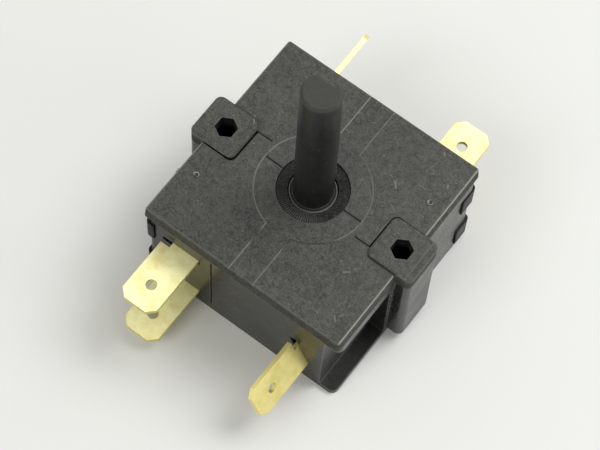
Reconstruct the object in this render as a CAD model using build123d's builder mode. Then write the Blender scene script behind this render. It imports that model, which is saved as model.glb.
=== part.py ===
from build123d import *
import os
from math import cos, sin, radians

# Rotary changeover switch for a kitchen or laundry appliance, in millimetres.
# X runs through the two fixing ears, Y across the joint of the two half mouldings,
# Z up along the spindle. The origin is the middle of the base on the spindle axis.
# Both half mouldings come from one shape, turned half a turn about the spindle, and
# differ only in their terminal slots. The front half holds two contact sets that share
# one common tab, the rear half holds one set with its common tab higher and steeper.

# sizes of the body
body_height = 22.0
body_half_x = 17.4
body_half_y = 16.85
body_corner = 1.1
wall = 1.3
base_thick = 1.2
lid_thick = 2.2
lid_over_x = 0.15
lid_over_y = 0.7
lid_taper = 5.0
lid_corner = 0.6
lid_edge = 0.35
skirt_drop = 2.4
rim_rib_y = -9.5
rim_rib_width = 0.8
rim_rib_top = 0.5
seam = 0.12

# ears, their posts and screw holes, which come 31.75 mm apart
ear_half_width = 3.75
ear_inset = 5.35
ear_reach = 2.55
ear_raise = 0.3
ear_corner = 1.0
ear_groove = 0.2
ear_step = 1.05
ear_step_depth = 0.1
post_foot_z = 1.8
screw_inset = 1.525
screw_flats = 3.05
screw_floor = 1.0

# tongues that lock one half into the other, with a peg and its socket
tongue_gap = 0.3
tongue_length = 2.45
tongue_slope = 0.85
tongue_reach = 2.4
peg_inset = 1.65
peg_radius = 0.45
peg_length = 2.0
peg_clearance = 0.1
boss_half_width = 1.25
boss_height = 1.4

# open corner pocket beside each ear and the two corner windows opposite
pocket_depth = 2.7
pocket_lip = 1.0
pocket_rib = 0.55
window_depth = 1.4
window_width = 3.15
window_height = 4.6
window_drop = 0.6

# dark lugs that fill the corner windows, joined by a bar inside
lug_clear = 0.1
lug_proud = 0.3
lug_edge = 0.8
lug_bar = 1.0

# spindle
shaft_radius = 3.0
shaft_reach = 31.0
shaft_flat = 1.5
shaft_flat_length = 12.0
shaft_end_chamfer = 0.4
core_radius = 3.65
core_flat = 2.9
core_gap = 0.1
core_recess = 0.5
core_edge = 0.5
pivot_radius = 2.5
pivot_start = 0.3
running_gap = 0.08

# rotor
rotor_bottom = 1.6
neck_radius = 5.4
neck_recess = 0.35
crown_radius = 8.4
crown_gap = 1.0
crown_thick = 1.5
click_count = 6
click_depth = 0.6
click_half_width = 0.9
click_stop = 0.4
drum_radius = 6.1
cam_share = 0.52
cam_thick = 3.0
cam_pocket_radius = 4.0
cam_pocket_depth = 1.5
cam_turn = 60.0
stop_lug_share = 0.9
stop_lug_root = 1.0
stop_lug_half_angle = 10.0

# stop block in each half
stop_share = 0.32
stop_half_angle = 17.0
stop_gap = 0.4
stop_clearance = 0.25

# faint marks of the mould on the lid
mark_radius = 8.7
mark_band_width = 4.3
mark_depth = 0.08

# terminals
tab_width = 6.3
sheet = 0.8
tab_reach = 10.95
tab_chamfer = 1.2
tab_hole_radius = 0.85
tab_hole_from_tip = 3.9
flat_tab_inset = 4.9
upper_tab_drop = 7.6
lower_tab_z = 3.0
common_tab_inset = 5.4
common_tab_drop = 0.5
common_tilt = 25.0
slot_gap = 0.25
bend = 0.5
notch_gap = 0.8
notch_width = 1.6
notch_length = 2.7
rear_tab_short = 0.7
rear_tilt = 15.0
rear_common_shift = 0.1
rear_plate_rise = 3.0

# fine slit in the front wall beside the flat tabs
slit_from_tab = 2.35
slit_width = 0.25
slit_depth = 0.4
slit_foot = 2.0

# contact set
level_shift = 1.4
contact_lug_clear = 0.95
contact_lug_width = 5.0
contact_lug_reach = 3.3
button_radius = 1.5
fixed_button = 0.7
moving_button = 0.6
contact_gap = 0.8
shank_radius = 0.6
shank_head_radius = 0.9
shank_head = 0.25
back_to_left = 1.7
back_to_right = 2.1
blade_thick = 0.25
blade_height = 3.2
blade_past = 0.3
blade_to_right = 1.9
bump_half_base = 3.2
bump_half_top = 0.9
bump_gap = 0.3
rivet_to_left = 0.2
rivet_radius = 0.8
rivet_head_radius = 1.4
rivet_head = 0.5
rivet_clear = 0.3

# detent strip
strip_half_width = 2.0
strip_thick = 0.4
strip_lift = 0.2
strip_clear = 0.15
strip_to_neck = 0.9
strip_bump_inset = 1.0
strip_bump_radius = 0.6
ledge_length = 2.2
ledge_thick = 0.8
ledge_margin = 0.5

# values that follow: the case
far = 30.0
past = 0.1
half_seam = seam / 2
lid_half_x = body_half_x + lid_over_x
lid_half_y = body_half_y + lid_over_y
lid_bottom = body_height - lid_thick
skirt_bottom = lid_bottom - skirt_drop
cavity_half_x = body_half_x - wall
cavity_half_y = body_half_y - wall
ear_inner_x = body_half_x - ear_inset
ear_outer_x = body_half_x + ear_reach
ear_middle_x = (ear_inner_x + ear_outer_x) / 2
ear_top = body_height + ear_raise
screw_x = body_half_x - screw_inset
groove_y = ear_half_width + ear_groove
groove_x = ear_inner_x - ear_groove
tongue_end_x = ear_inner_x - tongue_gap
tongue_start_x = tongue_end_x - tongue_length
peg_x = ear_inner_x - peg_inset
peg_z = base_thick + boss_height / 2
pocket_x = body_half_x - pocket_depth
window_x = body_half_x - window_depth
window_y = body_half_y - window_width
window_bottoms = (base_thick, skirt_bottom - window_drop - window_height)

# the terminals and contacts
upper_tab_z = body_height - upper_tab_drop
common_tab_z = (upper_tab_z + lower_tab_z) / 2 - common_tab_drop
upper_level = upper_tab_z - level_shift
lower_level = lower_tab_z + level_shift
middle_level = (upper_level + lower_level) / 2
tab_tip_y = -(body_half_y + tab_reach)
rear_flat_z = upper_level - level_shift
rear_tip_y = tab_tip_y + rear_tab_short
notch_y = -(body_half_y + notch_gap)
flat_tab_x = -(cavity_half_x - flat_tab_inset)
left = flat_tab_x - tab_width / 2
right = flat_tab_x + tab_width / 2
slit_x = right + slit_from_tab
common_tab_x = cavity_half_x - common_tab_inset
rear_common_x = common_tab_x - rear_common_shift
rear_common_z = upper_tab_z
rear_plate_top = rear_common_z + rear_plate_rise
contact_lug_y = -(cavity_half_y - contact_lug_clear)
fixed_face_y = contact_lug_y + sheet + fixed_button
back_inner_y = fixed_face_y + contact_gap + moving_button
back_left_x = common_tab_x - back_to_left
back_right_x = common_tab_x + back_to_right
rivet_x = common_tab_x - rivet_to_left
blade_outer_y = back_inner_y
blade_inner_y = blade_outer_y + blade_thick
blade_end_x = common_tab_x + blade_to_right

# the rotor, the stops and the detent
bearing_radius = neck_radius + running_gap
pivot_bore = pivot_radius + running_gap
neck_top = body_height - neck_recess
core_top = body_height - core_recess
shaft_top = body_height + shaft_reach
crown_top = lid_bottom - crown_gap
crown_bottom = crown_top - crown_thick
cam_radius = drum_radius + cam_share * (-blade_inner_y - drum_radius)
stop_lug_radius = drum_radius + stop_lug_share * (cam_radius - drum_radius)
stop_radius = drum_radius + stop_share * (cam_radius - drum_radius)
stop_bottom = lower_level + cam_thick / 2 + stop_gap
stop_top = upper_level - cam_thick / 2 - stop_gap
bump_y = -(cam_radius + bump_gap)
strip_top = lid_bottom - strip_lift
strip_outer_y = -(cavity_half_y - strip_clear)
strip_inner_y = -(neck_radius + strip_to_neck)
strip_bump_y = strip_inner_y - strip_bump_inset

os.makedirs("parts", exist_ok=True)


def facing_back(x, y, z):
    # plane whose sketches grow towards +Y, with X to the right
    return Plane(origin=(x, y, z), x_dir=(1, 0, 0), z_dir=(0, 1, 0))


def facing_front(x, y, z):
    # plane whose sketches grow towards -Y, with X to the right and Z up
    return Plane(origin=(x, y, z), x_dir=(1, 0, 0), z_dir=(0, -1, 0))


def level(z):
    return Plane(origin=(0, 0, z))


def save_front(part, name):
    part.label = name + "_front"
    export_step(part, "parts/" + name + "_front.step")


def save_rear(part, name):
    # rear pieces are drawn in front too, then turned half a turn about the spindle
    rear = part.rotate(Axis.Z, 180)
    rear.label = name + "_rear"
    export_step(rear, "parts/" + name + "_rear.step")


def save_pair(part, name):
    save_front(part, name)
    save_rear(part, name)


def ring_points(radius, middle, half):
    # three points of an arc about the spindle, for angles in degrees
    angles = (middle - half, middle, middle + half)
    return [(radius * cos(radians(a)), radius * sin(radians(a))) for a in angles]


def wedge(inner_radius, outer_radius, middle, half):
    # sector of a ring about the spindle, drawn in the open sketch
    inner = ring_points(inner_radius, middle, half)
    outer = ring_points(outer_radius, middle, half)
    with BuildLine() as outline:
        ThreePointArc(*inner)
        Line(inner[2], outer[2])
        ThreePointArc(*outer)
        Line(outer[0], inner[0])
    make_face(outline.edges())


# housing: the half moulding with its ear, drawn as a full box and cut along the joint
joint_outline = [
    (-far, -far),
    (far, -far),
    (far, ear_half_width),
    (ear_inner_x, ear_half_width),
    (ear_inner_x, -tongue_reach - half_seam),
    (tongue_start_x, -tongue_reach - half_seam),
    (tongue_start_x - tongue_slope, -half_seam),
    (-tongue_start_x + tongue_slope, -half_seam),
    (-tongue_start_x, tongue_reach - half_seam),
    (-tongue_end_x, tongue_reach - half_seam),
    (-groove_x, -groove_y),
    (-far, -groove_y),
]

with BuildPart() as half:
    # lower box
    with BuildSketch(level(0)):
        RectangleRounded(2 * body_half_x, 2 * body_half_y, body_corner)
    extrude(amount=lid_bottom)
    # skirt under the lid on the two ear sides
    with BuildSketch(level(skirt_bottom)):
        RectangleRounded(2 * lid_half_x, 2 * body_half_y, body_corner)
    extrude(amount=skirt_drop)
    # lid with drafted sides and a softened edge
    with BuildSketch(level(lid_bottom)):
        RectangleRounded(2 * lid_half_x, 2 * lid_half_y, lid_corner)
    extrude(amount=lid_thick, taper=lid_taper)
    fillet(half.edges().group_by(Axis.Z)[-1], lid_edge)
    # small rib on the drafted rim beside the other half's ear
    with BuildSketch(level(lid_bottom)):
        with Locations((-lid_half_x, rim_rib_y)):
            Rectangle(wall, rim_rib_width, align=(Align.MIN, Align.CENTER))
    extrude(amount=lid_thick - rim_rib_top)
    # room inside
    with BuildSketch(level(base_thick)):
        Rectangle(2 * cavity_half_x, 2 * cavity_half_y)
    extrude(amount=lid_bottom - base_thick, mode=Mode.SUBTRACT)
    # faint disc and band on the lid
    with BuildSketch(level(body_height - mark_depth)):
        Circle(mark_radius)
        Rectangle(mark_band_width, 4 * lid_half_y)
    extrude(amount=mark_depth, mode=Mode.SUBTRACT)
    # wall set back behind the open corner pocket
    with BuildSketch(level(0)):
        with Locations((pocket_x - wall, -body_half_y + past)):
            Rectangle(wall, body_half_y - ear_half_width, align=(Align.MIN, Align.MIN))
    extrude(amount=lid_bottom)
    with BuildSketch(level(0)):
        with Locations((pocket_x - wall, -ear_half_width - pocket_rib)):
            Rectangle(body_half_x - pocket_x + wall, pocket_rib, align=(Align.MIN, Align.MIN))
    extrude(amount=lid_bottom)
    # ear and its post, which stops short of the base outside the body
    with BuildSketch(level(post_foot_z)) as post_sketch:
        with Locations((ear_middle_x, 0)):
            Rectangle(ear_outer_x - ear_inner_x, 2 * ear_half_width)
        corners = post_sketch.vertices().sort_by_distance((ear_inner_x, ear_half_width, post_foot_z))
        fillet(corners[1:], ear_corner)
    extrude(amount=ear_top - post_foot_z)
    with BuildSketch(level(0)):
        with Locations(((ear_inner_x + body_half_x) / 2, 0)):
            Rectangle(body_half_x - ear_inner_x, 2 * ear_half_width)
    extrude(amount=post_foot_z)
    # open corner pocket beside the ear
    with BuildSketch(level(pocket_lip)):
        with Locations((pocket_x, -ear_half_width - pocket_rib)):
            Rectangle(far, far, align=(Align.MIN, Align.MAX))
    extrude(amount=skirt_bottom - pocket_lip, mode=Mode.SUBTRACT)
    # corner windows on the far side, one at each flat tab
    for bottom in window_bottoms:
        with BuildSketch(level(bottom)):
            with Locations((-window_x, -window_y)):
                Rectangle(far, far, align=(Align.MAX, Align.MAX))
        extrude(amount=window_height, mode=Mode.SUBTRACT)
    # the half that this moulding is
    with BuildSketch(level(-far)) as joint:
        with BuildLine():
            Polyline(*joint_outline, close=True)
        make_face()
        near_ear = joint.vertices().sort_by_distance((ear_inner_x, ear_half_width, -far))
        near_groove = joint.vertices().sort_by_distance((-groove_x, -groove_y, -far))
        fillet([near_ear[0], near_groove[0]], ear_corner)
    extrude(amount=2 * far, mode=Mode.INTERSECT)
    # bearing holes for the rotor neck and the lower pivot
    with BuildSketch(level(lid_bottom)):
        Circle(bearing_radius)
    extrude(amount=lid_thick + ear_raise, mode=Mode.SUBTRACT)
    with BuildSketch(level(0)):
        Circle(pivot_bore)
    extrude(amount=base_thick, mode=Mode.SUBTRACT)
    # shallow step along the outer edge of the ear
    with BuildSketch(level(ear_top - ear_step_depth)):
        with Locations((ear_outer_x - ear_step, 0)):
            Rectangle(far, 2 * ear_half_width, align=(Align.MIN, Align.CENTER))
    extrude(amount=far, mode=Mode.SUBTRACT)
    # hexagonal screw hole down the post
    with BuildSketch(level(post_foot_z + screw_floor)):
        with Locations((screw_x, 0)):
            RegularPolygon(screw_flats / 2, 6, major_radius=False, rotation=30)
    extrude(amount=ear_top - post_foot_z - screw_floor, mode=Mode.SUBTRACT)
    # stop block on the front wall
    with BuildSketch(level(stop_bottom)):
        wedge(stop_radius, body_half_y, -90, stop_half_angle)
        with Locations((0, -cavity_half_y - wall / 2)):
            Rectangle(far, far, align=(Align.CENTER, Align.MAX), mode=Mode.SUBTRACT)
    extrude(amount=stop_top - stop_bottom)
    # ledge that holds the detent strip
    with BuildSketch(level(strip_top - strip_thick - ledge_thick)):
        with Locations((0, -cavity_half_y)):
            Rectangle(2 * (strip_half_width + ledge_margin), ledge_length, align=(Align.CENTER, Align.MIN))
    extrude(amount=ledge_thick)
    # bosses at the joint with a peg on one and its socket in the other
    for x in (-peg_x, peg_x):
        with BuildSketch(level(base_thick)):
            with Locations((x, -half_seam)):
                Rectangle(2 * boss_half_width, 4 * boss_half_width, align=(Align.CENTER, Align.MAX))
        extrude(amount=boss_height)
    with BuildSketch(facing_back(-peg_x, -half_seam, peg_z)):
        Circle(peg_radius)
    extrude(amount=peg_length)
    with BuildSketch(facing_front(peg_x, -half_seam, peg_z)):
        Circle(peg_radius + peg_clearance)
    extrude(amount=peg_length + peg_clearance, mode=Mode.SUBTRACT)
    # fine slit beside the flat tabs
    with BuildSketch(facing_front(slit_x, -body_half_y + slit_depth, (skirt_bottom + slit_foot) / 2)):
        Rectangle(slit_width, skirt_bottom - slit_foot)
    extrude(amount=slit_depth + past, mode=Mode.SUBTRACT)


def tab_slot(x, z, tilt):
    # slot in the front wall for a tab whose width leans by tilt from lying flat
    with BuildSketch(facing_front(x, -cavity_half_y + past, z)) as slot:
        Rectangle(tab_width + 2 * slot_gap, sheet + 2 * slot_gap, rotation=tilt)
    extrude(slot.sketch, amount=wall + 2 * past, mode=Mode.SUBTRACT)


with BuildPart() as front_half:
    add(half.part)
    tab_slot(flat_tab_x, upper_tab_z, 0)
    tab_slot(flat_tab_x, lower_tab_z, 0)
    tab_slot(common_tab_x, common_tab_z, 90 + common_tilt)
save_front(front_half.part, "housing")

with BuildPart() as rear_half:
    add(half.part)
    tab_slot(flat_tab_x, rear_flat_z, 0)
    tab_slot(rear_common_x, rear_common_z, 90 + rear_tilt)
save_rear(rear_half.part, "housing")

# corner lugs: two dark blocks that fill the corner windows, on a bar inside the corner
with BuildPart() as corner_lugs:
    with BuildSketch(level(base_thick + lug_clear)):
        with Locations((-window_x, -cavity_half_y + lug_clear)):
            Rectangle(lug_bar, window_width - wall - 2 * lug_clear, align=(Align.MIN, Align.MIN))
    extrude(amount=window_bottoms[1] + window_height - base_thick - 2 * lug_clear)
    for bottom in window_bottoms:
        with BuildSketch(level(bottom + lug_clear)) as block:
            with Locations((-body_half_x - lug_proud, -body_half_y - lug_proud)):
                Rectangle(
                    window_depth + lug_proud - lug_clear,
                    window_width + lug_proud - lug_clear,
                    align=(Align.MIN, Align.MIN),
                )
            fillet(block.vertices().sort_by_distance((-far, -far, 0))[0], lug_edge)
            with Locations((-window_x - lug_clear, -cavity_half_y + lug_clear)):
                Rectangle(lug_bar, window_width - wall - 2 * lug_clear, align=(Align.MIN, Align.MIN))
        extrude(amount=window_height - 2 * lug_clear)
save_pair(corner_lugs.part, "corner_lugs")

# rotor: neck, detent crown, drum, two cams and two stop lugs in one moulding
with BuildPart() as rotor:
    with BuildSketch(level(rotor_bottom)):
        Circle(drum_radius)
    extrude(amount=crown_bottom - rotor_bottom)
    with BuildSketch(level(crown_bottom)):
        Circle(crown_radius)
    extrude(amount=crown_top - crown_bottom)
    with BuildSketch(level(crown_top)):
        Circle(neck_radius)
    extrude(amount=neck_top - crown_top)
    # radial notches in the crown
    for index in range(click_count):
        angle = 90 + index * 360 / click_count
        start = (crown_radius * cos(radians(angle)), crown_radius * sin(radians(angle)), crown_top)
        inward = (-cos(radians(angle)), -sin(radians(angle)), 0)
        with BuildSketch(Plane(origin=start, x_dir=(0, 0, 1), z_dir=inward)):
            with BuildLine():
                Polyline((0, -click_half_width), (0, click_half_width), (-click_depth, 0), close=True)
            make_face()
        extrude(amount=crown_radius - neck_radius - click_stop, mode=Mode.SUBTRACT)
    # cams: round discs with a pocket where their blade may close
    for middle, closing in ((upper_level, -cam_turn), (lower_level, cam_turn)):
        with BuildSketch(level(middle - cam_thick / 2)):
            Circle(cam_radius)
            reach = cam_radius + cam_pocket_radius - cam_pocket_depth
            with PolarLocations(reach, 2, start_angle=-90 + closing):
                Circle(cam_pocket_radius, mode=Mode.SUBTRACT)
        extrude(amount=cam_thick)
    # stop lugs
    with BuildSketch(level(stop_bottom + stop_clearance)):
        wedge(drum_radius - stop_lug_root, stop_lug_radius, 0, stop_lug_half_angle)
        wedge(drum_radius - stop_lug_root, stop_lug_radius, 180, stop_lug_half_angle)
    extrude(amount=stop_top - stop_bottom - 2 * stop_clearance)
    # flatted bore for the shaft, round where it passes the crown and neck
    with BuildSketch(level(rotor_bottom)):
        Circle(core_radius + core_gap)
        with Locations((0, core_flat + core_gap)):
            Rectangle(far, far, align=(Align.CENTER, Align.MIN), mode=Mode.SUBTRACT)
    extrude(amount=crown_bottom - rotor_bottom, mode=Mode.SUBTRACT)
    with BuildSketch(level(crown_bottom)):
        Circle(core_radius + core_gap)
    extrude(amount=neck_top - crown_bottom, mode=Mode.SUBTRACT)
rotor.part.label = "rotor"
export_step(rotor.part, "parts/rotor.step")

# shaft: flatted core in the rotor, round journal, then the flatted knob end
with BuildPart() as shaft:
    with BuildSketch(level(pivot_start)):
        Circle(pivot_radius)
    extrude(amount=rotor_bottom - pivot_start)
    with BuildSketch(level(rotor_bottom)):
        Circle(core_radius)
        with Locations((0, core_flat)):
            Rectangle(far, far, align=(Align.CENTER, Align.MIN), mode=Mode.SUBTRACT)
    extrude(amount=crown_bottom - rotor_bottom)
    with BuildSketch(level(crown_bottom)):
        Circle(core_radius)
    extrude(amount=core_top - crown_bottom)
    fillet(shaft.edges().group_by(Axis.Z)[-1], core_edge)
    with BuildSketch(level(core_top)):
        Circle(shaft_radius)
    extrude(amount=shaft_top - core_top)
    chamfer(shaft.edges().group_by(Axis.Z)[-1], shaft_end_chamfer)
    with BuildSketch(level(shaft_top - shaft_flat_length)):
        with Locations((0, shaft_flat)):
            Rectangle(far, far, align=(Align.CENTER, Align.MIN))
    extrude(amount=shaft_flat_length, mode=Mode.SUBTRACT)
shaft.part.label = "shaft"
export_step(shaft.part, "parts/shaft.step")


def flat_tab(z, tip_y):
    # outline of a 6.3 mm push-on tab lying flat, from inside the wall to its tip
    with BuildSketch(level(z - sheet / 2)) as tab:
        with BuildLine():
            Polyline(
                (left, contact_lug_y + sheet),
                (left, tip_y + tab_chamfer),
                (left + tab_chamfer, tip_y),
                (right - tab_chamfer, tip_y),
                (right, tip_y + tab_chamfer),
                (right, contact_lug_y + sheet),
                close=True,
            )
        make_face()
        with Locations((flat_tab_x, tip_y + tab_hole_from_tip)):
            Circle(tab_hole_radius, mode=Mode.SUBTRACT)
        # locking notch where the tab passes the wall
        with Locations((left, notch_y)):
            Rectangle(notch_width, notch_length, align=(Align.MIN, Align.MIN), mode=Mode.SUBTRACT)
    extrude(tab.sketch, amount=sheet)


def contact_lug(z, toward):
    # the end of the terminal, bent up or down behind the wall
    middle = z + toward * contact_lug_reach / 2
    with BuildSketch(facing_back(flat_tab_x, contact_lug_y, middle)) as lug:
        Rectangle(contact_lug_width, contact_lug_reach + sheet)
    extrude(lug.sketch, amount=sheet)


def contact_hole(z):
    with BuildSketch(facing_back(flat_tab_x, contact_lug_y, z)) as hole:
        Circle(shank_radius)
    extrude(hole.sketch, amount=sheet, mode=Mode.SUBTRACT)


# fixed terminals
with BuildPart() as upper_terminal:
    flat_tab(upper_tab_z, tab_tip_y)
    contact_lug(upper_tab_z, -1)
    contact_hole(upper_level)
    outer = upper_terminal.edges().filter_by(Axis.X).group_by(Axis.Y)[-1].sort_by(Axis.Z)
    fillet(outer[-1], bend)
save_front(upper_terminal.part, "upper_terminal")

with BuildPart() as lower_terminal:
    flat_tab(lower_tab_z, tab_tip_y)
    contact_lug(lower_tab_z, 1)
    contact_hole(lower_level)
    outer = lower_terminal.edges().filter_by(Axis.X).group_by(Axis.Y)[-1].sort_by(Axis.Z)
    fillet(outer[0], bend)
save_front(lower_terminal.part, "lower_terminal")

with BuildPart() as rear_terminal:
    flat_tab(rear_flat_z, rear_tip_y)
    contact_lug(rear_flat_z, 1)
    contact_hole(upper_level)
    outer = rear_terminal.edges().filter_by(Axis.X).group_by(Axis.Y)[-1].sort_by(Axis.Z)
    fillet(outer[0], bend)
save_rear(rear_terminal.part, "flat_terminal")


def common_tab(x, z, tilt, heads):
    # tilted tab that ends on its back plate, with room for the blade rivet heads:
    # heads lists their levels, each with 1 or -1 for the side where the tab is kept
    tilted = Plane(
        origin=(x, 0, z),
        x_dir=(-sin(radians(tilt)), 0, cos(radians(tilt))),
        z_dir=(-cos(radians(tilt)), 0, -sin(radians(tilt))),
    )
    with BuildSketch(tilted.offset(-sheet / 2)) as tab:
        with BuildLine():
            Polyline(
                (-tab_width / 2, back_inner_y),
                (-tab_width / 2, tab_tip_y + tab_chamfer),
                (-tab_width / 2 + tab_chamfer, tab_tip_y),
                (tab_width / 2 - tab_chamfer, tab_tip_y),
                (tab_width / 2, tab_tip_y + tab_chamfer),
                (tab_width / 2, back_inner_y),
                close=True,
            )
        make_face()
        with Locations((0, tab_tip_y + tab_hole_from_tip)):
            Circle(tab_hole_radius, mode=Mode.SUBTRACT)
        with Locations((tab_width / 2, notch_y)):
            Rectangle(notch_width, notch_length, align=(Align.MAX, Align.MIN), mode=Mode.SUBTRACT)
        for head_z, kept in heads:
            edge = (head_z + kept * (rivet_head_radius + rivet_clear) - z) / cos(radians(tilt))
            side = Align.MAX if kept == 1 else Align.MIN
            with Locations((edge, back_inner_y - sheet - rivet_head - rivet_clear)):
                Rectangle(far, far, align=(side, Align.MIN), mode=Mode.SUBTRACT)
    extrude(tab.sketch, amount=sheet)


def back_plate(bottom, top):
    # upright plate behind the common tab that its blades are riveted to
    with BuildSketch(facing_front((back_left_x + back_right_x) / 2, back_inner_y, (bottom + top) / 2)) as plate:
        Rectangle(back_right_x - back_left_x, top - bottom)
    extrude(plate.sketch, amount=sheet)


def blade_rivet_hole(z):
    with BuildSketch(facing_front(rivet_x, back_inner_y, z)) as hole:
        Circle(rivet_radius)
    extrude(hole.sketch, amount=sheet, mode=Mode.SUBTRACT)


# common terminals
with BuildPart() as common_terminal:
    common_tab(common_tab_x, common_tab_z, common_tilt, ((lower_level, 1), (upper_level, -1)))
    back_plate(lower_level - blade_height / 2, upper_level + blade_height / 2)
    blade_rivet_hole(upper_level)
    blade_rivet_hole(lower_level)
save_front(common_terminal.part, "common_terminal")

with BuildPart() as rear_common:
    common_tab(rear_common_x, rear_common_z, rear_tilt, ((upper_level, 1),))
    back_plate(upper_level - blade_height / 2, rear_plate_top)
    blade_rivet_hole(upper_level)
save_rear(rear_common.part, "common_terminal")

# contact blades: spring strips with a bump that rides on a cam. Each half has the upper
# set, and only the front half has the lower one
for name, z, save in (("upper", upper_level, save_pair), ("lower", lower_level, save_front)):
    with BuildPart() as blade:
        with BuildSketch(level(z - blade_height / 2)) as strip:
            with BuildLine() as path:
                Polyline(
                    (flat_tab_x - button_radius - blade_past, blade_outer_y + blade_thick / 2),
                    (-bump_half_base, blade_outer_y + blade_thick / 2),
                    (-bump_half_top, bump_y - blade_thick / 2),
                    (bump_half_top, bump_y - blade_thick / 2),
                    (bump_half_base, blade_outer_y + blade_thick / 2),
                    (blade_end_x, blade_outer_y + blade_thick / 2),
                )
                offset(amount=blade_thick / 2, kind=Kind.INTERSECTION)
            make_face()
        extrude(amount=blade_height)
        for x, radius in ((flat_tab_x, shank_radius), (rivet_x, rivet_radius)):
            with BuildSketch(facing_back(x, blade_outer_y, z)):
                Circle(radius)
            extrude(amount=blade_thick, mode=Mode.SUBTRACT)
    save(blade.part, name + "_blade")

    with BuildPart() as blade_rivet:
        with BuildSketch(facing_back(rivet_x, blade_outer_y - sheet - rivet_head, z)):
            Circle(rivet_head_radius)
        extrude(amount=rivet_head)
        with BuildSketch(facing_back(rivet_x, blade_outer_y - sheet, z)):
            Circle(rivet_radius)
        extrude(amount=sheet + blade_thick)
        with BuildSketch(facing_back(rivet_x, blade_inner_y, z)):
            Circle(rivet_head_radius)
        extrude(amount=rivet_head)
        ends = blade_rivet.edges().filter_by(GeomType.CIRCLE).group_by(Axis.Y)
        fillet(ends[0] + ends[-1], rivet_head / 2)
    save(blade_rivet.part, name + "_blade_rivet")

    with BuildPart() as moving_contact:
        with BuildSketch(facing_front(flat_tab_x, blade_outer_y, z)):
            Circle(button_radius)
        extrude(amount=moving_button)
        fillet(moving_contact.edges().group_by(Axis.Y)[0], moving_button / 3)
        with BuildSketch(facing_back(flat_tab_x, blade_outer_y, z)):
            Circle(shank_radius)
        extrude(amount=blade_thick)
        with BuildSketch(facing_back(flat_tab_x, blade_inner_y, z)):
            Circle(shank_head_radius)
        extrude(amount=shank_head)
    save(moving_contact.part, name + "_moving_contact")

    with BuildPart() as fixed_contact:
        with BuildSketch(facing_back(flat_tab_x, contact_lug_y + sheet, z)):
            Circle(button_radius)
        extrude(amount=fixed_button)
        fillet(fixed_contact.edges().group_by(Axis.Y)[-1], fixed_button / 3)
        with BuildSketch(facing_back(flat_tab_x, contact_lug_y, z)):
            Circle(shank_radius)
        extrude(amount=sheet)
        with BuildSketch(facing_front(flat_tab_x, contact_lug_y, z)):
            Circle(shank_head_radius)
        extrude(amount=shank_head)
    save(fixed_contact.part, name + "_fixed_contact")

# detent strip: flat spring under the lid whose bump drops into a crown notch
with BuildPart() as detent_strip:
    with BuildSketch(level(strip_top - strip_thick)):
        with Locations((0, strip_outer_y)):
            Rectangle(2 * strip_half_width, strip_inner_y - strip_outer_y, align=(Align.CENTER, Align.MIN))
    extrude(amount=strip_thick)
    with BuildSketch(facing_back(0, strip_bump_y - strip_half_width / 2, strip_top - strip_thick)):
        Circle(strip_bump_radius)
        Rectangle(far, far, align=(Align.CENTER, Align.MAX), mode=Mode.SUBTRACT)
    extrude(amount=strip_half_width)
save_pair(detent_strip.part, "detent_strip")
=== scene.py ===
"""Looks of a rotary changeover switch. The file is laid out as an add-on and run as a script."""

import math

import bmesh
import bpy
from mathutils import Matrix, Vector


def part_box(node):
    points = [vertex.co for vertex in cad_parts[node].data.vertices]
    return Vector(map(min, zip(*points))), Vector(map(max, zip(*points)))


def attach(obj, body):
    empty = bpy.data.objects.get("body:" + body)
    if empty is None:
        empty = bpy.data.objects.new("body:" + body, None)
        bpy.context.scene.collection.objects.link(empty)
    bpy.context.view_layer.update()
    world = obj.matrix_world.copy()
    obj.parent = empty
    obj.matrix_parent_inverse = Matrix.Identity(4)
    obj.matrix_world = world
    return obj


bl_info = {
    "name": "Changeover Switch Looks",
    "version": (1, 0, 0),
    "blender": (4, 5, 0),
    "location": "View3D > Sidebar > Switch",
    "description": "Finishes the packed switch with materials, moulding marks and a photo stage",
    "category": "Object",
}

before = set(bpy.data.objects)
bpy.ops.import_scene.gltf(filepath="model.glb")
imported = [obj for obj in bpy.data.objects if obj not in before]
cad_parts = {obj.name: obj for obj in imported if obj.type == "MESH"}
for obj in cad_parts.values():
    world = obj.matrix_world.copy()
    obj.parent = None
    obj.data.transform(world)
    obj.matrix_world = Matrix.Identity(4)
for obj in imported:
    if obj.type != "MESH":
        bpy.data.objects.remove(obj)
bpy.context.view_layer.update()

MM = 0.001
EAR_RAISE = 0.3 * MM  # the ears stand this far above the lid
LID_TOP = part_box("housing_front")[1].z - EAR_RAISE
RIM_DEPTH = 2.25 * MM  # the lid's sides are eroded this far down, and the walls below are smoother
RIM_FOOT = LID_TOP - RIM_DEPTH
TURN_HALF = Matrix.Rotation(math.pi, 4, "Z")  # takes the front half to the rear one

# marks on the lid, each from one place to another in millimetres: pale rubs and dark dents
PALE_MARKS = (
    ((8.7, 8.2), (9.5, 7.4)),
    ((-13.8, 4.2), (-13.1, 3.0)),
    ((11.8, 16.3), (12.0, 16.0)),
    ((15.2, 12.4), (15.4, 12.0)),
    ((11.2, -7.9), (12.0, -7.3)),
    ((14.2, -14.0), (14.8, -14.7)),
)
DARK_MARKS = (
    ((8.7, 13.4), (9.9, 13.1)),
    ((11.2, 13.1), (11.0, 12.1)),
    ((12.4, 12.2), (12.3, 11.7)),
)
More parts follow.
